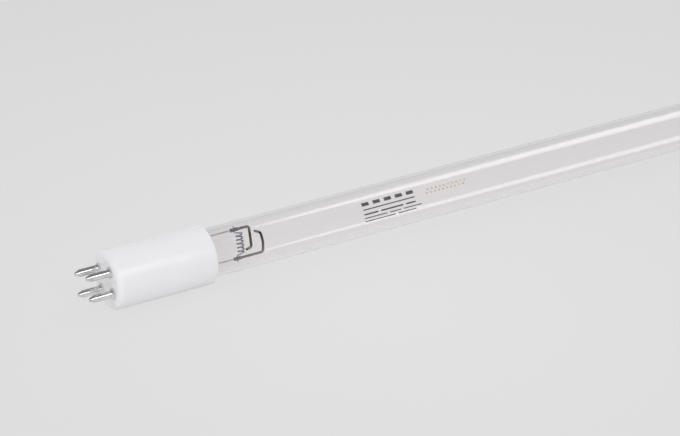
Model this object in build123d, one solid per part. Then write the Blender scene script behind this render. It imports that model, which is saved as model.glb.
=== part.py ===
from build123d import *
import os

# A tubular germicidal lamp with four contact pins on one end.
# Millimetres. X runs along the lamp from the pin face of the base, and Z is up where the lamp lies.

# The whole lamp
lamp_length = 550.0  # pin face of the base to the end face of the far cap
lie_roll = 14.0  # degrees that the lamp has rolled about its own axis where it lies

# Quartz tube and its two pinch seals
tube_diameter = 15.0
tube_wall = 1.0
pinch_thickness = 4.4
pinch_length = 11.0
neck_length = 6.5  # from the full round to the pinch
crevice_width = 1.0  # what stays open between the pinched walls at the end of the bore
crevice_wall = 1.5  # quartz left at each edge of that crevice
seat_length = 5.0  # round tube held inside the base or the cap

# Ceramic base and end cap
cement_gap = 0.5
cement_setback = 1.0
ceramic_wall = 1.1
base_floor = 5.0
base_tail_space = 5.0  # from the floor of the base to the pinch
cap_floor = 3.0
cap_tail_space = 3.0
end_edge_radius = 1.8
rim_radius = 0.5
floor_radius = 0.8

# Contact pins
pin_diameter = 2.36
pin_length = 7.75
pin_pitch_wide = 7.92
pin_pitch_narrow = 6.35
pin_tip_length = 1.7
pin_tip_diameter = 1.0
pin_tip_radius = 0.4
pin_foot_diameter = 3.6
pin_foot_height = 1.1
pin_foot_proud = 0.25  # rim of the foot outside the face of the base
pin_foot_sink = 0.3  # rim of the foot let into that face
pin_stem_diameter = 2.0
pin_rivet_diameter = 2.9
pin_rivet_height = 0.5
pin_bore_depth = 9.0  # from the riveted end
pin_bore_clearance = 0.1

# Electrode mounts
lead_diameter = 0.5
lead_inset = 2.05  # from the wall of the bore to the middle of a lead, with the mount on the axis
mount_rise = 0.48  # the mount stands this far off the axis
lead_grip = 1.5  # length of a lead inside the pinch
clamp_reach = 22.0  # from the pinch to the clamps
strand_diameter = 0.5
coil_diameter = 2.3
coil_turns = 5
coil_ahead = 1.5  # from the clamps to the coil
leg_diameter = 0.4
leg_bend = 0.35
leg_rise = 0.62  # from the last turn of the coil to the bend of its leg
leg_stub = 0.5  # end of a leg outside its clamp
clamp_diameter = 1.05
clamp_length = 2.4
clamp_web = 0.15  # metal left in a clamp between the leg and the ends of the two wires
guard_diameter = 0.8
guard_bend = 0.9
upper_guard_reach = 5.1
upper_guard_stop = 2.4  # from the far lead to the end of the crossing
upper_guard_hook = (2.2, -1.0)  # back towards the coil, and sideways
lower_guard_reach = 8.75
lower_guard_stop = 2.85
lower_guard_hook = (0.2, 3.5)
lower_guard_bow = 0.35  # of its crossing

# Foils and outer leads in the pinch
foil_width = 2.5
foil_thickness = 0.1
tail_diameter = 0.6
tail_grip = 2.5
tail_bend = 0.8
tail_run = 1.0  # straight run between the pinch and the first bend
tail_end = 3.0  # how far a tail goes into the bore of its pin
far_tail_length = 1.8

# Amalgam
amalgam_length = 9.0
amalgam_width = 4.0
amalgam_thickness = 0.5
amalgam_from_end = 150.0

# Worked out from the sizes above
tube_radius = tube_diameter / 2
bore_radius = tube_radius - tube_wall
socket_radius = tube_radius + cement_gap
ceramic_radius = socket_radius + ceramic_wall
near_pinch_end = base_floor + base_tail_space
near_pinch = near_pinch_end + pinch_length
near_neck = near_pinch + neck_length
base_length = near_neck + seat_length
cap_length = cap_floor + cap_tail_space + pinch_length + neck_length + seat_length
far_pinch_end = lamp_length - cap_floor - cap_tail_space
far_neck = far_pinch_end - pinch_length - neck_length
lead_offset = bore_radius - lead_inset
clamp_place = near_pinch + clamp_reach
foil_start = near_pinch_end + tail_grip
foil_end = near_pinch - lead_grip
leg_radius = leg_diameter / 2
lead_end = clamp_place - leg_radius - clamp_web
guard_start = clamp_place + leg_radius + clamp_web


def rod(diameter, start, end, y=0.0, z=0.0):
    """A round bar along X."""
    face = Plane((start, y, z), x_dir=(0, 1, 0), z_dir=(1, 0, 0)) * Circle(diameter / 2)
    return extrude(face, end - start)


def wire(diameter, points, bend):
    """A round wire of straight runs joined by tangent bends."""
    path = FilletPolyline(*points, radius=bend)
    return sweep(Plane(path @ 0, z_dir=path % 0) * Circle(diameter / 2), path=path)


def pinch_section(x, radius, half_thickness, half_width, share):
    """The tube's section between its round (share 0) and its pinch (share 1), in four matching edges."""
    round_corner = radius * 2**-0.5
    corner_y = round_corner + (half_thickness - round_corner) * share
    corner_z = round_corner + (half_width - half_thickness - round_corner) * share
    side = radius + (half_thickness - radius) * share
    edge = radius + (half_width - radius) * share
    corners = [(corner_y, corner_z), (corner_y, -corner_z), (-corner_y, -corner_z), (-corner_y, corner_z)]
    bulges = [(side, 0), (0, -edge), (-side, 0), (0, edge)]
    edges = []
    for number, bulge in enumerate(bulges):
        start = corners[number]
        finish = corners[(number + 1) % 4]
        flat = share == 1 and number % 2 == 0
        edges.append(Line(start, finish) if flat else ThreePointArc(start, bulge, finish))
    return Plane((x, 0, 0), x_dir=(0, 1, 0), z_dir=(1, 0, 0)) * make_face(edges)


def pinch_neck(radius, half_thickness, half_width, round_end, pinch_end):
    """The soft shoulder from the round tube to the pinch, eased at both ends."""
    sections = []
    for step in range(4):
        along = step / 3
        share = along * along * (3 - 2 * along)
        x = round_end + (pinch_end - round_end) * along
        sections.append(pinch_section(x, radius, half_thickness, half_width, share))
    return loft(sections)


def turned_round(shape):
    """The same piece at the other end of the tube."""
    return Pos(near_pinch_end + far_pinch_end, 0, 0) * Rot(Z=180) * shape


def rings_at(shape, x):
    """The circular edges of a turned shape that lie at x."""
    return shape.edges().filter_by(GeomType.CIRCLE).filter_by_position(Axis.X, x, x)


def ceramic_cup(length, floor):
    """A closed barrel with a rounded end edge, its closed face at x = 0."""
    profile = Polyline(
        (0, 0),
        (0, ceramic_radius),
        (length, ceramic_radius),
        (length, socket_radius),
        (floor, socket_radius),
        (floor, 0),
        close=True,
    )
    cup = revolve(make_face(profile), Axis.X)
    cup = fillet(rings_at(cup, 0), end_edge_radius)
    cup = fillet(rings_at(cup, length), min(rim_radius, 0.45 * ceramic_wall))
    return fillet(rings_at(cup, floor), floor_radius)


def cement_ring(start, end):
    return rod(2 * socket_radius, start, end) - rod(tube_diameter, start, end)


def lead_height(side):
    """Height of the upper (side 1) or the lower (side -1) lead."""
    return mount_rise + side * lead_offset


def contact_pin():
    """A turned pin on the X axis: tapered tip, shank, flared foot, stem and riveted end."""
    shank = pin_diameter / 2
    foot = pin_foot_diameter / 2
    stem = pin_stem_diameter / 2
    rivet = pin_rivet_diameter / 2
    bore = tail_diameter / 2 + pin_bore_clearance
    rivet_end = base_floor + pin_rivet_height
    shoulder = pin_tip_length - pin_length
    flare_start = (-pin_foot_height, shank)
    flare_end = (-pin_foot_proud, foot)
    outline = [
        Polyline((rivet_end - pin_bore_depth, 0), (-pin_length, 0), (-pin_length, pin_tip_diameter / 2)),
        Polyline((-pin_length, pin_tip_diameter / 2), (shoulder, shank), flare_start),
        TangentArc(flare_start, flare_end, tangent=(1, 0)),
        Polyline(flare_end, (pin_foot_sink, foot), (pin_foot_sink, stem), (base_floor, stem)),
        Polyline((base_floor, stem), (base_floor, rivet), (rivet_end, rivet), (rivet_end, bore)),
        Polyline((rivet_end, bore), (rivet_end - pin_bore_depth, bore), (rivet_end - pin_bore_depth, 0)),
    ]
    pin = revolve(make_face(outline), Axis.X)
    tip_edge = pin.edges().filter_by(GeomType.CIRCLE).sort_by(Axis.X)[0]
    return fillet(tip_edge, pin_tip_radius)


def clamp(side):
    """A crimp sleeve on a lead, with the guard in its other end and the filament's leg through it."""
    z = lead_height(side)
    start = clamp_place - clamp_length / 2
    end = clamp_place + clamp_length / 2
    sleeve = rod(clamp_diameter, start, end, z=z)
    sleeve -= rod(lead_diameter, start, lead_end, z=z)
    sleeve -= rod(guard_diameter, guard_start, end, z=z)
    leg_hole = Pos(clamp_place, 0, z) * Cylinder(leg_radius, 2 * clamp_diameter)
    return sleeve - leg_hole


def filament():
    """An open coil across the tube ahead of the clamps, with a bent leg back to each of them."""
    coil_place = clamp_place + coil_ahead
    coil_radius = (coil_diameter - strand_diameter) / 2
    elbow = lead_offset - clamp_diameter / 2 - leg_bend
    half = elbow - leg_rise
    leg_end = lead_offset + clamp_diameter / 2 + leg_stub
    bottom = (coil_place, 0, mount_rise - half)
    helix = Helix(2 * half / coil_turns, 2 * half, coil_radius, center=bottom)
    section = Plane(helix @ 0, z_dir=helix % 0) * Circle(strand_diameter / 2)
    strand = sweep(section, path=helix, is_frenet=True)
    for side in (-1, 1):
        points = [
            (coil_place + coil_radius, 0, mount_rise + side * half),
            (clamp_place, 0, mount_rise + side * elbow),
            (clamp_place, 0, mount_rise + side * leg_end),
        ]
        strand += wire(leg_diameter, points, leg_bend)
    return strand


def guard(side, reach, stop, hook, bow=0.0):
    """A heavy wire from a clamp along the tube, across it in front of the filament, and hooked at its end."""
    start = lead_height(side)
    finish = lead_height(-side) + side * stop
    crossing = clamp_place + reach
    back, aside = hook
    points = [(guard_start, 0, start), (crossing, 0, start)]
    if bow:
        points.append((crossing + bow, 0, (start + finish) / 2))
    points += [(crossing, 0, finish), (crossing - back, aside, finish)]
    return wire(guard_diameter, points, guard_bend)


def pin_places():
    """Middle of each pin, in order round the face."""
    wide = pin_pitch_wide / 2
    narrow = pin_pitch_narrow / 2
    return [(-wide, narrow), (wide, narrow), (wide, -narrow), (-wide, -narrow)]


def near_tail(side):
    """An outer lead from its foil, out of the pinch and into the bore of a pin."""
    z = lead_height(side)
    pin_y = -pin_pitch_wide / 2
    pin_z = side * pin_pitch_narrow / 2
    mouth = base_floor + pin_rivet_height
    points = [
        (foil_start, 0, z),
        (near_pinch_end - tail_run, 0, z),
        (mouth + tail_run, pin_y, pin_z),
        (mouth - tail_end, pin_y, pin_z),
    ]
    return wire(tail_diameter, points, tail_bend)


def foil(side):
    middle = ((foil_start + foil_end) / 2, 0, lead_height(side))
    return Pos(*middle) * Box(foil_end - foil_start, foil_thickness, foil_width)


def mount_pieces():
    """The electrode mount at the base, apart from its tails."""
    pieces = {"filament": filament()}
    for side, word in ((1, "upper"), (-1, "lower")):
        pieces[f"lead_{word}"] = rod(lead_diameter, foil_end, lead_end, z=lead_height(side))
        pieces[f"clamp_{word}"] = clamp(side)
        pieces[f"foil_{word}"] = foil(side)
    pieces["guard_upper"] = guard(1, upper_guard_reach, upper_guard_stop, upper_guard_hook)
    pieces["guard_lower"] = guard(-1, lower_guard_reach, lower_guard_stop, lower_guard_hook, lower_guard_bow)
    return pieces


def quartz_tube(sealed_in):
    """The tube with its two pinch seals, pressed round the pieces that pass through them."""
    half_thickness = pinch_thickness / 2
    crevice = crevice_width / 2
    crevice_half = tube_radius - crevice_wall
    body = rod(tube_diameter, near_neck, far_neck)
    bore = rod(2 * bore_radius, near_neck, far_neck)
    slab = extrude(pinch_section(near_pinch_end, tube_radius, half_thickness, tube_radius, 1), pinch_length)
    shoulder = pinch_neck(tube_radius, half_thickness, tube_radius, near_neck, near_pinch)
    throat = pinch_neck(bore_radius, crevice, crevice_half, near_neck, near_pinch + crevice_width)
    end = slab + shoulder
    tube = body + end + turned_round(end)
    tube = tube - bore - throat - turned_round(throat)
    for piece in sealed_in:
        tube = tube - piece
    return tube


def amalgam_spot():
    """A flat dab with an oval outline, wetted onto the inner wall at the bottom of the bore."""
    x = lamp_length - amalgam_from_end
    layer = rod(2 * bore_radius, x - amalgam_length, x + amalgam_length)
    layer -= rod(2 * (bore_radius - amalgam_thickness), x - amalgam_length, x + amalgam_length)
    oval = Plane((x, 0, -bore_radius)) * Ellipse(amalgam_length / 2, amalgam_width / 2)
    return layer & extrude(oval, bore_radius)


def pin_base():
    """The ceramic base, with a counterbored hole for each pin."""
    base = ceramic_cup(base_length, base_floor)
    for y, z in pin_places():
        base -= rod(pin_stem_diameter, 0, base_floor, y, z)
        base -= rod(pin_foot_diameter, 0, pin_foot_sink, y, z)
    return base


def lamp():
    """Every piece of the lamp by name, before it is rolled to where it lies."""
    mount = mount_pieces()
    pieces = {f"near_{name}": shape for name, shape in mount.items()}
    pieces["near_tail_upper"] = near_tail(1)
    pieces["near_tail_lower"] = near_tail(-1)
    for name, shape in mount.items():
        pieces[f"far_{name}"] = turned_round(shape)
    for side, word in ((1, "upper"), (-1, "lower")):
        tail = rod(tail_diameter, near_pinch_end - far_tail_length, foil_start, z=lead_height(side))
        pieces[f"far_tail_{word}"] = turned_round(tail)
    sealed_in = []
    for name, shape in pieces.items():
        if any(word in name for word in ("lead", "foil", "tail")):
            sealed_in.append(shape)
    pieces["quartz_tube"] = quartz_tube(sealed_in)
    pieces["pin_base"] = pin_base()
    pin = contact_pin()
    for number, (y, z) in enumerate(pin_places(), start=1):
        pieces[f"contact_pin_{number}"] = Pos(0, y, z) * pin
    pieces["base_cement"] = cement_ring(near_neck, base_length - cement_setback)
    pieces["end_cap"] = Pos(lamp_length, 0, 0) * Rot(Z=180) * ceramic_cup(cap_length, cap_floor)
    pieces["cap_cement"] = cement_ring(lamp_length - cap_length + cement_setback, far_neck)
    pieces["amalgam_spot"] = amalgam_spot()
    return pieces


os.makedirs("parts", exist_ok=True)
for name, shape in lamp().items():
    export_step(Rot(X=-lie_roll) * shape, f"parts/{name}.step")
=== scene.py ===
import bpy
import bmesh
import math
from mathutils import Matrix, Vector


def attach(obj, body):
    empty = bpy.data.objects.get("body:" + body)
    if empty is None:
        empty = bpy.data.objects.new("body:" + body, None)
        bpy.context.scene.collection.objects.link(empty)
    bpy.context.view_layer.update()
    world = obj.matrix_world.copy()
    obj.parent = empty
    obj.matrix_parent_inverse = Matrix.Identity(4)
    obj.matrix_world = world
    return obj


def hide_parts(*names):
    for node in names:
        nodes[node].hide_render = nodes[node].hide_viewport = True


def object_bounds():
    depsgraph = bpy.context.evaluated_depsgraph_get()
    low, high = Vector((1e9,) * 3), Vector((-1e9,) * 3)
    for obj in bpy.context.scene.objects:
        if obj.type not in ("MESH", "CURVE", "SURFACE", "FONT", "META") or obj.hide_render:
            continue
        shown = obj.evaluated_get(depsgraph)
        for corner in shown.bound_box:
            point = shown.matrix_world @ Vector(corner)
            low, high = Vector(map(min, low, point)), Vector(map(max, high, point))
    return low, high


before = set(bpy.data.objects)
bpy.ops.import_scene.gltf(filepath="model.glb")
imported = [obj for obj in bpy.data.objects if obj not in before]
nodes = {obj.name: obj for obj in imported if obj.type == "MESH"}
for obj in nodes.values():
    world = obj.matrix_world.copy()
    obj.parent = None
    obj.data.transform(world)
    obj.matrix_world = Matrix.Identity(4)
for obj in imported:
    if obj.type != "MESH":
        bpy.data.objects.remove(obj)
cadLow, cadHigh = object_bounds()
mm = 0.001
lieRoll = Matrix.Rotation(math.radians(-14), 4, "X")  # how the lamp has rolled where it lies
mountRise = 0.48  # mm that both electrode mounts stand off the axis
print("frame loaded:", len(nodes), "nodes")


# shader helpers
def newFinish(name, metal=0.0, roughness=0.5, colour=(0.8, 0.8, 0.8)):
    finish = bpy.data.materials.new(name)
    finish.use_nodes = True
    shader = finish.node_tree.nodes["Principled BSDF"]
    shader.inputs["Metallic"].default_value = metal
    shader.inputs["Roughness"].default_value = roughness
    shader.inputs["Base Color"].default_value = (*colour, 1)
    return finish, shader


def mappingTo(finish, texture):
    tree = finish.node_tree
    coords = tree.nodes.new("ShaderNodeTexCoord")
    mapping = tree.nodes.new("ShaderNodeMapping")
    tree.links.new(coords.outputs["Object"], mapping.inputs["Vector"])
    tree.links.new(mapping.outputs["Vector"], texture.inputs["Vector"])
    return mapping


def noiseOn(finish, scale, detail=3.0, stretch=(1, 1, 1)):
    noise = finish.node_tree.nodes.new("ShaderNodeTexNoise")
    noise.inputs["Scale"].default_value = scale
    noise.inputs["Detail"].default_value = detail
    mappingTo(finish, noise).inputs["Scale"].default_value = stretch
    return noise.outputs["Fac"]


def ballOn(finish, middle, reach, turn=(0, 0, 0)):
    ball = finish.node_tree.nodes.new("ShaderNodeTexGradient")
    ball.gradient_type = "SPHERICAL"  # 1 in the middle, 0 at its reach
    mapping = mappingTo(finish, ball)
    mapping.vector_type = "TEXTURE"
    mapping.inputs["Location"].default_value = middle
    mapping.inputs["Rotation"].default_value = turn
    mapping.inputs["Scale"].default_value = reach
    return ball.outputs["Fac"]


def rampOn(finish, factor, tones):
    ramp = finish.node_tree.nodes.new("ShaderNodeValToRGB")
    for element, (place, colour) in zip(ramp.color_ramp.elements, tones):
        element.position = place
        element.color = (*colour, 1)
    finish.node_tree.links.new(factor, ramp.inputs["Fac"])
    return ramp.outputs["Color"]


def rangeOn(finish, factor, low, high, fromLow=0.3, fromHigh=0.7):
    spread = finish.node_tree.nodes.new("ShaderNodeMapRange")
    spread.inputs["From Min"].default_value = fromLow
    spread.inputs["From Max"].default_value = fromHigh
    spread.inputs["To Min"].default_value = low
    spread.inputs["To Max"].default_value = high
    finish.node_tree.links.new(factor, spread.inputs["Value"])
    return spread.outputs["Result"]


def mathOn(finish, operation, first, second=0.0):
    tree = finish.node_tree
    step = tree.nodes.new("ShaderNodeMath")
    step.operation = operation
    tree.links.new(first, step.inputs[0])
    if isinstance(second, float):
        step.inputs[1].default_value = second
    else:
        tree.links.new(second, step.inputs[1])
    return step.outputs["Value"]


def tintOn(finish, shader, factor, tones):
    finish.node_tree.links.new(rampOn(finish, factor, tones), shader.inputs["Base Color"])


def shineOn(finish, shader, factor, limits):
    finish.node_tree.links.new(rangeOn(finish, factor, *limits), shader.inputs["Roughness"])


def bumpOn(finish, shader, height, strength, depth):
    bump = finish.node_tree.nodes.new("ShaderNodeBump")
    bump.inputs["Strength"].default_value = strength
    bump.inputs["Distance"].default_value = depth
    finish.node_tree.links.new(height, bump.inputs["Height"])
    finish.node_tree.links.new(bump.outputs["Normal"], shader.inputs["Normal"])


def mixOn(finish, factor, usual, other):
    tree = finish.node_tree
    mix = tree.nodes.new("ShaderNodeMixShader")
    tree.links.new(factor, mix.inputs["Fac"])
    tree.links.new(usual, mix.inputs[1])
    tree.links.new(other, mix.inputs[2])
    tree.links.new(mix.outputs["Shader"], tree.nodes["Material Output"].inputs["Surface"])


def dress(finish, *words):
    count = 0
    for name, node in nodes.items():
        if any(word in name for word in words):
            node.data.materials.clear()
            node.data.materials.append(finish)
            count += 1
    print(finish.name, "on", count, "nodes")


# finishes of the pieces that keep their solid shape
# noise scales are per metre, tones lie along a noise, a bump is a strength and a depth in metres
ceramic = {
    "cloudScale": 70,
    "tones": ((0.3, (0.84, 0.84, 0.86)), (0.7, (0.865, 0.865, 0.89))),
    "smearScale": 160,
    "roughness": (0.12, 0.18),
    "peelScale": 260,
    "peelBump": (0.12, 0.00008),
}


def glazedCeramic():
    finish, shader = newFinish("glazedCeramic")
    tintOn(finish, shader, noiseOn(finish, ceramic["cloudScale"], detail=4), ceramic["tones"])
    shineOn(finish, shader, noiseOn(finish, ceramic["smearScale"]), ceramic["roughness"])
    bumpOn(finish, shader, noiseOn(finish, ceramic["peelScale"], detail=2), *ceramic["peelBump"])
    return finish


nickel = {
    "stainScale": 420,
    "tones": ((0.35, (0.64, 0.64, 0.635)), (0.6, (0.76, 0.76, 0.755))),
    "smearScale": 700,
    "roughness": (0.05, 0.11),
    "turningScale": 2600,
    "turningStretch": (1, 0.02, 0.02),  # fine marks round the pins
    "turningBump": (0.04, 0.00001),
}


def brightNickel():
    finish, shader = newFinish("brightNickel", metal=1.0)
    tintOn(finish, shader, noiseOn(finish, nickel["stainScale"], detail=4), nickel["tones"])
    shineOn(finish, shader, noiseOn(finish, nickel["smearScale"]), nickel["roughness"])
    rings = noiseOn(finish, nickel["turningScale"], detail=2, stretch=nickel["turningStretch"])
    bumpOn(finish, shader, rings, *nickel["turningBump"])
    return finish


fired = {
    "metal": 0.85,
    # a lighter tone painted on the guard runs for the sheen they catch
    "paintedSheen": (0.24, 0.21, 0.20),
    "oxideScale": 380,
    "tones": ((0.38, (0.055, 0.048, 0.044)), (0.68, (0.13, 0.095, 0.075))),
    "smearScale": 900,
    "roughness": (0.2, 0.34),
    "reach": (10000.0, 0.8, 4.6),  # half the room where the wire shows its dark oxide, in mm
    "fade": (0.06, 0.3),  # where in that room the painted sheen ends and the dark oxide begins
}


def firedWire():
    finish, shader = newFinish("firedWire", metal=fired["metal"])
    tree = finish.node_tree
    oxide = rampOn(finish, noiseOn(finish, fired["oxideScale"], detail=4), fired["tones"])
    middle = lieRoll @ Vector((0, 0, mountRise * mm))
    oxideRoom = ballOn(finish, middle, Vector(fired["reach"]) * mm, lieRoll.to_euler())
    tone = tree.nodes.new("ShaderNodeMix")  # near the middle the wire shows its dark oxide, further out a lighter painted sheen for the light its runs catch
    tone.data_type = "RGBA"
    tone.inputs["A"].default_value = (*fired["paintedSheen"], 1)
    tree.links.new(rangeOn(finish, oxideRoom, 0, 1, *fired["fade"]), tone.inputs["Factor"])
    tree.links.new(oxide, tone.inputs["B"])
    tree.links.new(tone.outputs["Result"], shader.inputs["Base Color"])
    shineOn(finish, shader, noiseOn(finish, fired["smearScale"]), fired["roughness"])
    return finish


drawn = {
    "roughness": 0.25,
    "tintScale": 240,
    "tones": ((0.35, (0.6, 0.49, 0.43)), (0.6, (0.72, 0.655, 0.62))),
    "dieScale": 5000,
    "dieStretch": (0.02, 1, 1),  # fine lines along the wire
    "dieBump": (0.15, 0.00001),
}


def drawnNickel():
    finish, shader = newFinish("drawnNickel", metal=1.0, roughness=drawn["roughness"])
    tintOn(finish, shader, noiseOn(finish, drawn["tintScale"]), drawn["tones"])
    lines = noiseOn(finish, drawn["dieScale"], detail=2, stretch=drawn["dieStretch"])
    bumpOn(finish, shader, lines, *drawn["dieBump"])
    return finish


crimp = {"colour": (0.22, 0.21, 0.205), "roughness": 0.28, "dentScale": 1600, "dentBump": (0.3, 0.00005)}


def crimpMetal():
    finish, shader = newFinish("crimpMetal", metal=1.0, roughness=crimp["roughness"], colour=crimp["colour"])
    bumpOn(finish, shader, noiseOn(finish, crimp["dentScale"]), *crimp["dentBump"])
    return finish


foil = {
    "colour": (0.52, 0.52, 0.53),
    "roughness": 0.32,
    "rollScale": 3000,
    "rollStretch": (0.05, 1, 1),
    "rollBump": (0.1, 0.00001),
}


def rolledFoil():
    finish, shader = newFinish("rolledFoil", metal=1.0, roughness=foil["roughness"], colour=foil["colour"])
    lines = noiseOn(finish, foil["rollScale"], detail=2, stretch=foil["rollStretch"])
    bumpOn(finish, shader, lines, *foil["rollBump"])
    return finish


cement = {
    "roughness": 0.9,
    "sandScale": 1800,
    "tones": ((0.3, (0.64, 0.61, 0.54)), (0.7, (0.78, 0.75, 0.69))),
    "sandBump": (0.5, 0.0001),
}


def setCement():
    finish, shader = newFinish("setCement", roughness=cement["roughness"])
    sand = noiseOn(finish, cement["sandScale"], detail=5)
    tintOn(finish, shader, sand, cement["tones"])
    bumpOn(finish, shader, sand, *cement["sandBump"])
    return finish


amalgam = {
    "roughness": 0.35,
    "crustScale": 900,
    "tones": ((0.35, (0.40, 0.40, 0.42)), (0.65, (0.66, 0.66, 0.68))),
    "crustBump": (0.6, 0.0002),
}


def dullAmalgam():
    finish, shader = newFinish("dullAmalgam", metal=1.0, roughness=amalgam["roughness"])
    crust = noiseOn(finish, amalgam["crustScale"], detail=5)
    tintOn(finish, shader, crust, amalgam["tones"])
    bumpOn(finish, shader, crust, *amalgam["crustBump"])
    return finish


dress(glazedCeramic(), "pin_base", "end_cap")
dress(brightNickel(), "contact_pin")
dress(firedWire(), "guard")
dress(drawnNickel(), "lead", "tail")
dress(crimpMetal(), "clamp")
dress(rolledFoil(), "foil")
dress(setCement(), "cement")
dress(dullAmalgam(), "amalgam")


# new pieces become objects here
def newPiece(bm, name, finish):
    mesh = bpy.data.meshes.new(name)
    bm.to_mesh(mesh)
    bm.free()
    mesh.materials.append(finish)
    piece = bpy.data.objects.new(name, mesh)
    bpy.context.collection.objects.link(piece)
    return piece


def finishPiece(bm, name, finish, *replaced, slot=None, sharpFrom=35):
    piece = newPiece(bm, name, finish)
    piece.data.shade_smooth()
    piece.data.set_sharp_from_angle(angle=math.radians(sharpFrom))
    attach(piece, "root")
    if replaced:
        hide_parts(*replaced)
    print(name, len(piece.data.polygons), "faces")


# clear quartz tube with a pinch seal at each end, in mm from the pin face
quartz = {
    "segments": 160,
    "radius": 7.5,
    "wall": 1.0,
    "pinchEnds": (10.0, 544.0),
    "pinchLength": 11.0,
    "pinchHalf": 2.2,
    "neckLength": 6.5,
    "neckRings": 9,
    "holdRings": (0.4, 1.5),  # past a neck, so that the straight tube is shaded straight
    "creviceHalf": 0.5,
    "creviceWall": 1.5,
    "ior": 1.458,
    "clear": (0.981, 0.971, 0.975),
    "endGreyTint": (0.945, 0.935, 0.938),  # a greyer tint towards each end of the tube
    "greyTintFrom": 48.0,
    "greyTintFull": 35.0,
    "shadow": (0.97, 0.965, 0.967),
}
nearEnd, farEnd = quartz["pinchEnds"]
tubeMiddle = (nearEnd + farEnd) / 2
pinchStart = nearEnd + quartz["pinchLength"]
neckEnd = pinchStart + quartz["neckLength"]


def tubeStations(start, squeezed):
    places = sorted({start, squeezed})
    for ring in range(1, quartz["neckRings"] + 1):
        places.append(squeezed + (neckEnd - squeezed) * ring / quartz["neckRings"])
    places += [neckEnd + hold for hold in quartz["holdRings"]]
    return places + [nearEnd + farEnd - place for place in reversed(places)]


# a round wall from start to its mirror place, pressed flat between start and squeezed
def tubeWall(bm, radius, start, squeezed, halfThick, halfWide):
    places = tubeStations(start, squeezed)
    acrossTube = Matrix.Translation((start * mm, 0, 0)) @ Matrix.Rotation(math.pi / 2, 4, "Y")
    made = bmesh.ops.create_circle(bm, segments=quartz["segments"], radius=radius * mm, matrix=acrossTube)
    rim = list({e for v in made["verts"] for e in v.link_edges})
    wallVerts = list(made["verts"])
    caps = [rim]
    for before, after in zip(places, places[1:]):
        grown = bmesh.ops.extrude_edge_only(bm, edges=rim)["geom"]
        rim = [g for g in grown if isinstance(g, bmesh.types.BMEdge)]
        ringVerts = [g for g in grown if isinstance(g, bmesh.types.BMVert)]
        bmesh.ops.translate(bm, verts=ringVerts, vec=((after - before) * mm, 0, 0))
        wallVerts += ringVerts
    caps.append([e for e in rim if e.is_boundary])
    for cap in caps:
        bmesh.ops.edgeloop_fill(bm, edges=cap)
    for vert in wallVerts:
        fromNear = tubeMiddle - abs(vert.co.x / mm - tubeMiddle)
        along = min(max((neckEnd - fromNear) / (neckEnd - squeezed), 0), 1)
        share = along * along * (3 - 2 * along)
        flat = max(-halfThick * mm, min(halfThick * mm, vert.co.y))
        vert.co.y += (flat - vert.co.y) * share
        vert.co.z *= 1 + (halfWide / radius - 1) * share


def clearQuartz():
    finish, shader = newFinish("clearQuartz", roughness=0.0)
    shader.inputs["Transmission Weight"].default_value = 1.0
    shader.inputs["IOR"].default_value = quartz["ior"]
    tree = finish.node_tree
    coords = tree.nodes.new("ShaderNodeTexCoord")
    split = tree.nodes.new("ShaderNodeSeparateXYZ")
    tree.links.new(coords.outputs["Object"], split.inputs["Vector"])
    # the tube's tint turns greyer towards each end
    offset = mathOn(finish, "SUBTRACT", split.outputs["X"], tubeMiddle * mm)
    fromMiddle = mathOn(finish, "ABSOLUTE", offset)
    greyTintEnds = [(tubeMiddle - quartz[place]) * mm for place in ("greyTintFrom", "greyTintFull")]
    endGrey = rangeOn(finish, fromMiddle, 0, 1, *greyTintEnds)
    tintOn(finish, shader, endGrey, ((0, quartz["clear"]), (1, quartz["endGreyTint"])))
    path = tree.nodes.new("ShaderNodeLightPath")  # lamps reach what is inside the tube
    letThrough = tree.nodes.new("ShaderNodeBsdfTransparent")
    letThrough.inputs["Color"].default_value = (*quartz["shadow"], 1)
    mixOn(finish, path.outputs["Is Shadow Ray"], shader.outputs["BSDF"], letThrough.outputs["BSDF"])
    return finish


def makeTube():
    bm = bmesh.new()
    radius = quartz["radius"]
    tubeWall(bm, radius, nearEnd, pinchStart, quartz["pinchHalf"], radius)
    bmesh.ops.recalc_face_normals(bm, faces=bm.faces)
    outerFaces = set(bm.faces)
    boreEnd = pinchStart + 2 * quartz["creviceHalf"]
    creviceWide = radius - quartz["creviceWall"]
    tubeWall(bm, radius - quartz["wall"], boreEnd, boreEnd, quartz["creviceHalf"], creviceWide)
    innerFaces = [f for f in bm.faces if f not in outerFaces]
    bmesh.ops.recalc_face_normals(bm, faces=innerFaces)
    bmesh.ops.reverse_faces(bm, faces=innerFaces)  # the bore faces the gas
    bmesh.ops.transform(bm, matrix=lieRoll, verts=bm.verts)
    finishPiece(bm, "quartzTube", clearQuartz(), "quartz_tube", slot="quartz")


makeTube()


# open coil across the tube, wound from a finer coil, with two legs, in mm before the lamp's roll
coil = {
    "clampPlace": 43.0,
    "ahead": 1.5,
    "leadOffset": 4.45,
    "clampRadius": 0.525,
    "radius": 0.9,
    "turns": 5,
    "strandRadius": 0.25,
    "fineWire": 0.075,
    "finePitch": 0.21,
    "fineSteps": 10,
    "fineSides": 6,
    "legRadius": 0.2,
    "legBend": 0.35,
    "legRise": 0.62,
    "legStub": 0.5,
    "legSides": 14,
    "bendSteps": 8,
    "sharpFrom": 60,
}
legElbow = coil["leadOffset"] - coil["clampRadius"] - coil["legBend"]
legEnd = coil["leadOffset"] + coil["clampRadius"] + coil["legStub"]
coilHalf = legElbow - coil["legRise"]


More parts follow.
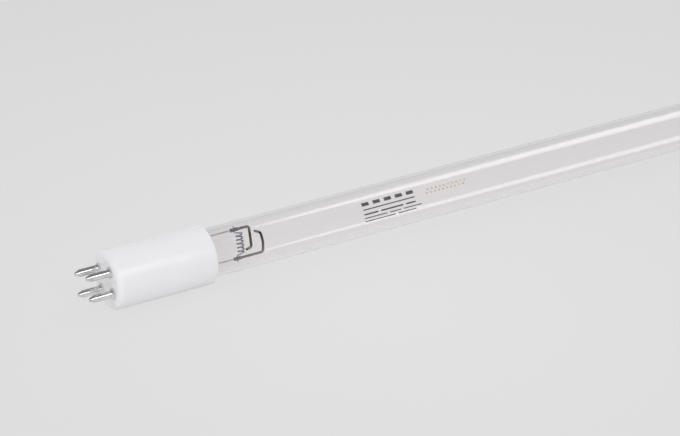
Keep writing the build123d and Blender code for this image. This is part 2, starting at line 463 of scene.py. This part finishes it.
def windCoil(bm):
    pitch = 2 * coilHalf / coil["turns"]
    turnLength = math.hypot(2 * math.pi * coil["radius"], pitch)
    length = coil["turns"] * turnLength
    fineTurns = round(length / coil["finePitch"])
    steps = fineTurns * coil["fineSteps"]
    offset = Matrix.Translation((0, coil["strandRadius"] - coil["fineWire"], 0))
    start = bmesh.ops.create_circle(
        bm, cap_ends=True, segments=coil["fineSides"], radius=coil["fineWire"], matrix=offset
    )["verts"]
    rim = list({e for v in start for e in v.link_edges})
    spun = bmesh.ops.spin(
        bm,
        geom=start + rim,
        cent=(0, 0, 0),
        axis=(1, 0, 0),
        dvec=(length / steps, 0, 0),
        angle=2 * math.pi * fineTurns,
        steps=steps,
    )
    last = [g for g in spun["geom_last"] if isinstance(g, bmesh.types.BMEdge)]
    bmesh.ops.edgeloop_fill(bm, edges=last)
    slope = pitch / turnLength
    level = math.sqrt(1 - slope * slope)
    for vert in bm.verts:  # the straight fine coil is bent round the wide one
        along, u, v = vert.co
        turn = 2 * math.pi * along / turnLength
        outward = Vector((math.cos(turn), math.sin(turn), 0))
        ahead = Vector((-math.sin(turn) * level, math.cos(turn) * level, slope))
        middle = outward * coil["radius"] + Vector((0, 0, along * slope - coilHalf))
        vert.co = middle + outward * u + ahead.cross(outward) * v


def bentPath(points, bend, steps):
    path = [Vector(points[0])]
    for before, corner, after in zip(points, points[1:], points[2:]):
        middle = Vector(corner)
        into = (middle - Vector(before)).normalized()
        out = (Vector(after) - middle).normalized()
        cut = bend * math.tan(into.angle(out) / 2)
        for step in range(steps + 1):
            share = step / steps
            low = (middle - into * cut).lerp(middle, share)
            path.append(low.lerp(middle.lerp(middle + out * cut, share), share))
    return path + [Vector(points[-1])]


def drawWire(bm, path, radius, sides):
    aim = (path[1] - path[0]).normalized()
    stand = Matrix.Translation(path[0]) @ aim.to_track_quat("Z", "Y").to_matrix().to_4x4()
    ring = bmesh.ops.create_circle(bm, cap_ends=True, segments=sides, radius=radius, matrix=stand)["verts"]
    rim = list({e for v in ring for e in v.link_edges})
    for number in range(1, len(path)):
        following = path[min(number + 1, len(path) - 1)]
        nextAim = (following - path[number - 1]).normalized()
        grown = bmesh.ops.extrude_edge_only(bm, edges=rim)["geom"]
        ring = [g for g in grown if isinstance(g, bmesh.types.BMVert)]
        rim = [g for g in grown if isinstance(g, bmesh.types.BMEdge) and all(v in ring for v in g.verts)]
        bmesh.ops.rotate(
            bm, verts=ring, cent=path[number - 1], matrix=aim.rotation_difference(nextAim).to_matrix()
        )
        bmesh.ops.translate(bm, verts=ring, vec=path[number] - path[number - 1])
        aim = nextAim
    bmesh.ops.edgeloop_fill(bm, edges=rim)


tungsten = {
    "metal": 0.3,
    "roughness": 0.55,
    "coatScale": 1500,
    "tones": ((0.42, (0.27, 0.285, 0.33)), (0.6, (0.48, 0.50, 0.55))),  # bare wire and its pale coat
}


def coatedTungsten():
    finish, shader = newFinish("coatedTungsten", metal=tungsten["metal"], roughness=tungsten["roughness"])
    tintOn(finish, shader, noiseOn(finish, tungsten["coatScale"], detail=4), tungsten["tones"])
    return finish


def makeFilament(end, finish):
    bm = bmesh.new()
    windCoil(bm)
    for side in (-1, 1):
        legPoints = [
            (coil["radius"], 0, side * coilHalf),
            (-coil["ahead"], 0, side * legElbow),
            (-coil["ahead"], 0, side * legEnd),
        ]
        legPath = bentPath(legPoints, coil["legBend"], coil["bendSteps"])
        drawWire(bm, legPath, coil["legRadius"], coil["legSides"])
    bmesh.ops.recalc_face_normals(bm, faces=bm.faces)
    place = Matrix.Translation((coil["clampPlace"] + coil["ahead"], 0, mountRise))
    if end == "far":  # the same, turned round
        place = Matrix.Translation((nearEnd + farEnd, 0, 0)) @ Matrix.Rotation(math.pi, 4, "Z") @ place
    bmesh.ops.transform(bm, matrix=lieRoll @ Matrix.Scale(mm, 4) @ place, verts=bm.verts)
    finishPiece(bm, f"{end}Coil", finish, f"{end}_filament", slot="tungsten", sharpFrom=coil["sharpFrom"])


tungstenFinish = coatedTungsten()
for end in ("near", "far"):
    makeFilament(end, tungstenFinish)


# plain printed bars and dots on the tube, in mm and degrees up from the middle of the side they face
marks = {
    "facing": 30.0,
    "inkThickness": 0.02,
    "inkRoughness": 0.55,
    "wearScale": 2200,
    "darkTones": ((0.4, (0.05, 0.048, 0.05)), (0.68, (0.14, 0.135, 0.135))),
    "tanTones": ((0.4, (0.56, 0.33, 0.15)), (0.68, (0.62, 0.42, 0.24))),
    "rowStart": 84.0,
    "rows": (
        {"angle": 16.0, "height": 1.1, "gap": 1.5, "bars": (2.5, 2.5, 2.5, 2.5, 2.5)},
        {"angle": 3.0, "height": 0.35, "gap": 1.0, "bars": (18.5,)},
        {"angle": -8.0, "height": 0.45, "gap": 1.0, "bars": (5.0, 8.0, 3.5)},
        {"angle": -17.0, "height": 0.3, "gap": 1.0, "bars": (8.0, 4.0, 6.5)},
        {"angle": -25.0, "height": 0.3, "gap": 1.0, "bars": (11.0, 6.5)},
    ),
    "barCuts": 4,  # so that a bar bends with the tube
    "dotAngles": (4.0, 12.0),
    "dotStart": 107.0,
    "dotPitch": 1.5,
    "dotStagger": 0.5,
    "dotCount": 10,
    "dotRadius": 0.28,
    "dotSides": 12,
}


def inkThick(bm):
    bmesh.ops.solidify(bm, geom=bm.faces[:], thickness=marks["inkThickness"])
    lowest = min(v.co.z for v in bm.verts)
    bmesh.ops.translate(bm, vec=(0, 0, -lowest), verts=bm.verts)


def ontoTube(bm):
    for vert in bm.verts:
        angle = math.radians(marks["facing"]) + vert.co.y / quartz["radius"]
        reach = quartz["radius"] + vert.co.z
        vert.co = Vector((vert.co.x, -math.cos(angle) * reach, math.sin(angle) * reach))
    bmesh.ops.recalc_face_normals(bm, faces=bm.faces)
    bmesh.ops.scale(bm, vec=(mm, mm, mm), verts=bm.verts)


def inkFinish(name, tones):
    finish, shader = newFinish(name, roughness=marks["inkRoughness"])
    tintOn(finish, shader, noiseOn(finish, marks["wearScale"]), tones)
    return finish


def printBars():
    bm = bmesh.new()
    for row in marks["rows"]:
        start = marks["rowStart"]
        up = math.radians(row["angle"]) * quartz["radius"]
        for length in row["bars"]:
            middle = Matrix.Translation((start + length / 2, up, 0))
            shape = middle @ Matrix.Diagonal((length / 2, row["height"] / 2, 1, 1))
            bmesh.ops.create_grid(bm, x_segments=1, y_segments=marks["barCuts"], size=1, matrix=shape)
            start += length + row["gap"]
    inkThick(bm)
    ontoTube(bm)
    finishPiece(bm, "printedBars", inkFinish("darkInk", marks["darkTones"]))


def printDots():
    bm = bmesh.new()
    radius = marks["dotRadius"]
    for row, angle in enumerate(marks["dotAngles"]):
        up = math.radians(angle) * quartz["radius"]
        for number in range(marks["dotCount"]):
            x = marks["dotStart"] + (number + marks["dotStagger"] * row) * marks["dotPitch"]
            middle = Matrix.Translation((x, up, 0))
            bmesh.ops.create_circle(
                bm, cap_ends=True, segments=marks["dotSides"], radius=radius, matrix=middle
            )
    inkThick(bm)
    ontoTube(bm)
    finishPiece(bm, "printedDots", inkFinish("tanInk", marks["tanTones"]))


printBars()
printDots()


# camera at the photograph's angle
view = {
    "azimuth": -31.04,
    "elevation": 26.55,
    "distance": 0.6959,
    "focalPixels": 2391.86,
    "pinFacePixel": (105.91, 280.89),
    "imageSize": (680, 436),
}


def placeCamera():
    turn = math.radians(-view["azimuth"])
    tilt = math.radians(view["elevation"])
    width, height = view["imageSize"]
    focal = view["focalPixels"]
    distance = view["distance"]
    ahead = Vector((math.sin(turn) * math.cos(tilt), math.cos(turn) * math.cos(tilt), -math.sin(tilt)))
    right = Vector((math.cos(turn), -math.sin(turn), 0))
    up = right.cross(ahead)
    across = (view["pinFacePixel"][0] - width / 2) / focal * distance
    down = (view["pinFacePixel"][1] - height / 2) / focal * distance
    place = -(right * across - up * down + ahead * distance)
    lens = bpy.data.cameras.new("camera")
    lens.lens = lens.sensor_width * focal / width
    camera = bpy.data.objects.new("camera", lens)
    bpy.context.collection.objects.link(camera)
    camera.matrix_world = Matrix.Translation(place) @ Matrix((right, up, -ahead)).transposed().to_4x4()
    bpy.context.scene.camera = camera


placeCamera()
print("camera placed")


# pale table whose glow has a painted pool of light, in metres
tabletop = {
    "size": 14.0,
    "middle": (0.2, 0),
    "colour": (0.86, 0.86, 0.86),
    "roughness": 0.6,
    "glow": 0.92,  # share of its seen tone that no shadow touches
    # a painted pool of light: the glow is brighter near the lamp and fades outwards
    "paintedPoolMiddle": (0.07, -0.04, 0),
    "paintedPoolReach": (0.3, 0.3, 10.0),
    "paintedPoolTones": ((0, (0.681, 0.676, 0.681)), (1, (0.762, 0.757, 0.760))),
}


def paleTable():
    finish, shader = newFinish("paleTable", roughness=tabletop["roughness"], colour=tabletop["colour"])
    tree = finish.node_tree
    # painted pool of light in the table's glow colour
    paintedPool = ballOn(finish, tabletop["paintedPoolMiddle"], tabletop["paintedPoolReach"])
    glow = tree.nodes.new("ShaderNodeEmission")
    tree.links.new(rampOn(finish, paintedPool, tabletop["paintedPoolTones"]), glow.inputs["Color"])
    path = tree.nodes.new("ShaderNodeLightPath")
    seen = path.outputs["Is Camera Ray"]
    for other in ("Is Glossy Ray", "Is Transmission Ray"):
        seen = mathOn(finish, "MAXIMUM", seen, path.outputs[other])
    share = mathOn(finish, "MULTIPLY", seen, tabletop["glow"])
    mixOn(finish, share, shader.outputs["BSDF"], glow.outputs["Emission"])
    return finish


def layTable():
    bm = bmesh.new()
    flat = Matrix.Translation((*tabletop["middle"], cadLow.z))
    bmesh.ops.create_grid(bm, x_segments=1, y_segments=1, size=tabletop["size"] / 2, matrix=flat)
    table = newPiece(bm, "table", paleTable())


# room that is pale low all round and dim overhead
room = {
    "sweepColour": (0.72, 0.72, 0.725),
    "ceilingColour": (0.25, 0.25, 0.255),
    "ceilingFrom": 0.85,  # sine of its height
}


def lightRoom():
    world = bpy.data.worlds.new("room")
    bpy.context.scene.world = world
    world.use_nodes = True
    tree = world.node_tree
    coords = tree.nodes.new("ShaderNodeTexCoord")
    split = tree.nodes.new("ShaderNodeSeparateXYZ")
    height = tree.nodes.new("ShaderNodeMapRange")
    height.interpolation_type = "SMOOTHSTEP"
    height.inputs["From Max"].default_value = room["ceilingFrom"]
    tone = tree.nodes.new("ShaderNodeMix")
    tone.data_type = "RGBA"
    tone.inputs["A"].default_value = (*room["sweepColour"], 1)
    tone.inputs["B"].default_value = (*room["ceilingColour"], 1)
    tree.links.new(coords.outputs["Generated"], split.inputs["Vector"])
    tree.links.new(split.outputs["Z"], height.inputs["Value"])
    tree.links.new(height.outputs["Result"], tone.inputs["Factor"])
    tree.links.new(tone.outputs["Result"], tree.nodes["Background"].inputs["Color"])


# soft boxes: two that show as the tube's highlights and two fills that don't show in glass or metal
boxes = {
    "overhead": {
        "shape": "ELLIPSE",
        "size": (0.91, 0.36),
        "place": (0.79, 0.13, 0.62),
        "aim": (0.79, 0.13, 0),
        "turn": 9.0,
        "watts": 2.0,
        "shows": True,
    },
    "front": {
        "shape": "RECTANGLE",
        "size": (1.0, 0.4),
        "place": (-0.055, -0.74, 0.67),
        "aim": (-0.055, 0, 0),
        "turn": 0.0,
        "watts": 3.25,
        "shows": True,
    },
    "ceilingFill": {
        "shape": "RECTANGLE",
        "size": (2.5, 2.5),
        "place": (0.2, 0.8, 1.5),
        "aim": (0.2, 0, 0),
        "turn": 0.0,
        "watts": 11.0,
        "shows": False,
    },
    "sideFill": {
        "shape": "RECTANGLE",
        "size": (1.0, 1.0),
        "place": (-1.2, -0.3, 0.7),
        "aim": (0, 0, 0),
        "turn": 0.0,
        "watts": 5.3,
        "shows": False,
    },
}


def hangBoxes():
    for name, box in boxes.items():
        lamp = bpy.data.lights.new(name, "AREA")
        lamp.shape = box["shape"]
        lamp.size, lamp.size_y = box["size"]
        lamp.energy = box["watts"]
        holder = bpy.data.objects.new(name, lamp)
        holder.location = box["place"]
        aim = (Vector(box["aim"]) - holder.location).to_track_quat("-Z", "Y")
        turn = Matrix.Rotation(math.radians(box["turn"]), 4, "Z")
        holder.rotation_euler = (aim.to_matrix().to_4x4() @ turn).to_euler()
        holder.visible_camera = False
        holder.visible_glossy = box["shows"]
        holder.visible_transmission = box["shows"]
        bpy.context.collection.objects.link(holder)


layTable()
lightRoom()
hangBoxes()
bpy.context.scene.view_settings.view_transform = "Standard"
print("studio set")
